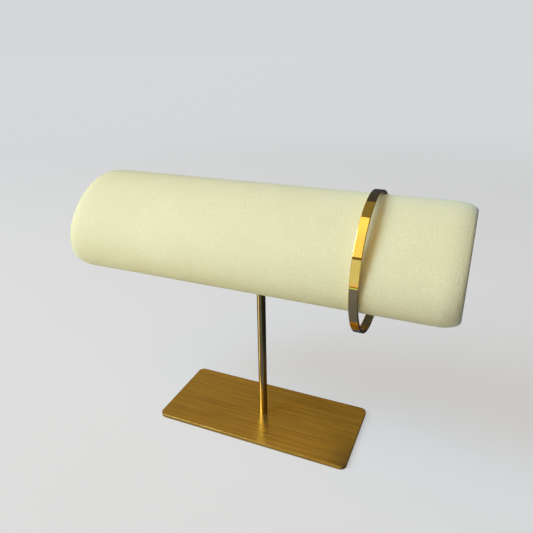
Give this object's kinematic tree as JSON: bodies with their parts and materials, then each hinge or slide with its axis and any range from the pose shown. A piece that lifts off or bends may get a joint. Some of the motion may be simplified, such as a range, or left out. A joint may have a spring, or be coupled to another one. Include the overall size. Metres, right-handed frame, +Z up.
{
  "type": "bangle on a bracelet display stand",
  "caption": "Plain round gold bangle, a flat polished band, hung on the padded oval bar of a brass display stand with a flat base plate.",
  "frame": {"origin": "centre of the base plate's underside, where it rests on a table", "axes": "+X along the display bar to the side where the bangle hangs, +Y to the back of the stand, +Z up"},
  "size_m": [0.195, 0.0666, 0.1372],
  "materials": {
    "gold": "polished",
    "brushed_brass": "brushed",
    "leatherette": "satin"
  },
  "bodies": {
    "root": {"base_plate": "brushed_brass", "post": "brushed_brass", "display_bar": "leatherette", "bangle": "gold"}
  },
  "joints": []
}
